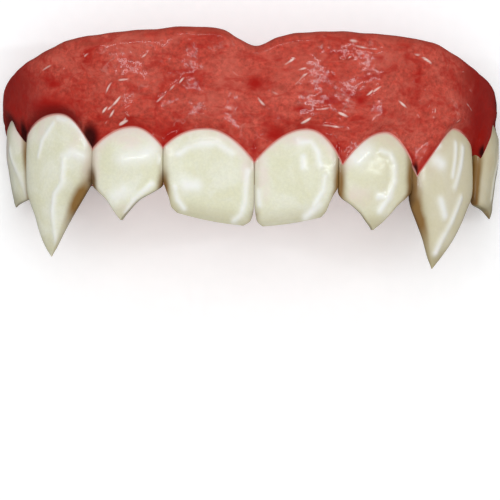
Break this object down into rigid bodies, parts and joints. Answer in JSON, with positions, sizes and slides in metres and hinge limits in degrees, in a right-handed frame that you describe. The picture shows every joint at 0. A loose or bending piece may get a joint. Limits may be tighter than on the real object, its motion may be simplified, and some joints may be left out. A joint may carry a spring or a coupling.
{
  "type": "upper fang denture",
  "caption": "Horseshoe of gum-red acrylic with a hollow channel that slips over the wearer's upper teeth and a row of false front teeth, two of them long pointed fangs.",
  "frame": {"origin": "on the resting plane, under the middle of the plate's bounding box", "axes": "+X to the viewer's right as seen from the front of the teeth, +Y from the fang tips to the gum border, +Z out of the front teeth, up from the plane that the two leg ends rest on"},
  "size_m": [0.057, 0.0268, 0.0213],
  "materials": {
    "gum_acrylic": "wet gloss, hand painted in mottled reds",
    "tooth_acrylic": "gloss, ivory with tan necks and edges"
  },
  "bodies": {
    "root": {"gum_plate": "gum_acrylic", "central_incisor_left": "tooth_acrylic", "central_incisor_right": "tooth_acrylic", "lateral_incisor_left": "tooth_acrylic", "lateral_incisor_right": "tooth_acrylic", "fang_left": "tooth_acrylic", "fang_right": "tooth_acrylic", "premolar_left": "tooth_acrylic", "premolar_right": "tooth_acrylic"}
  },
  "joints": []
}
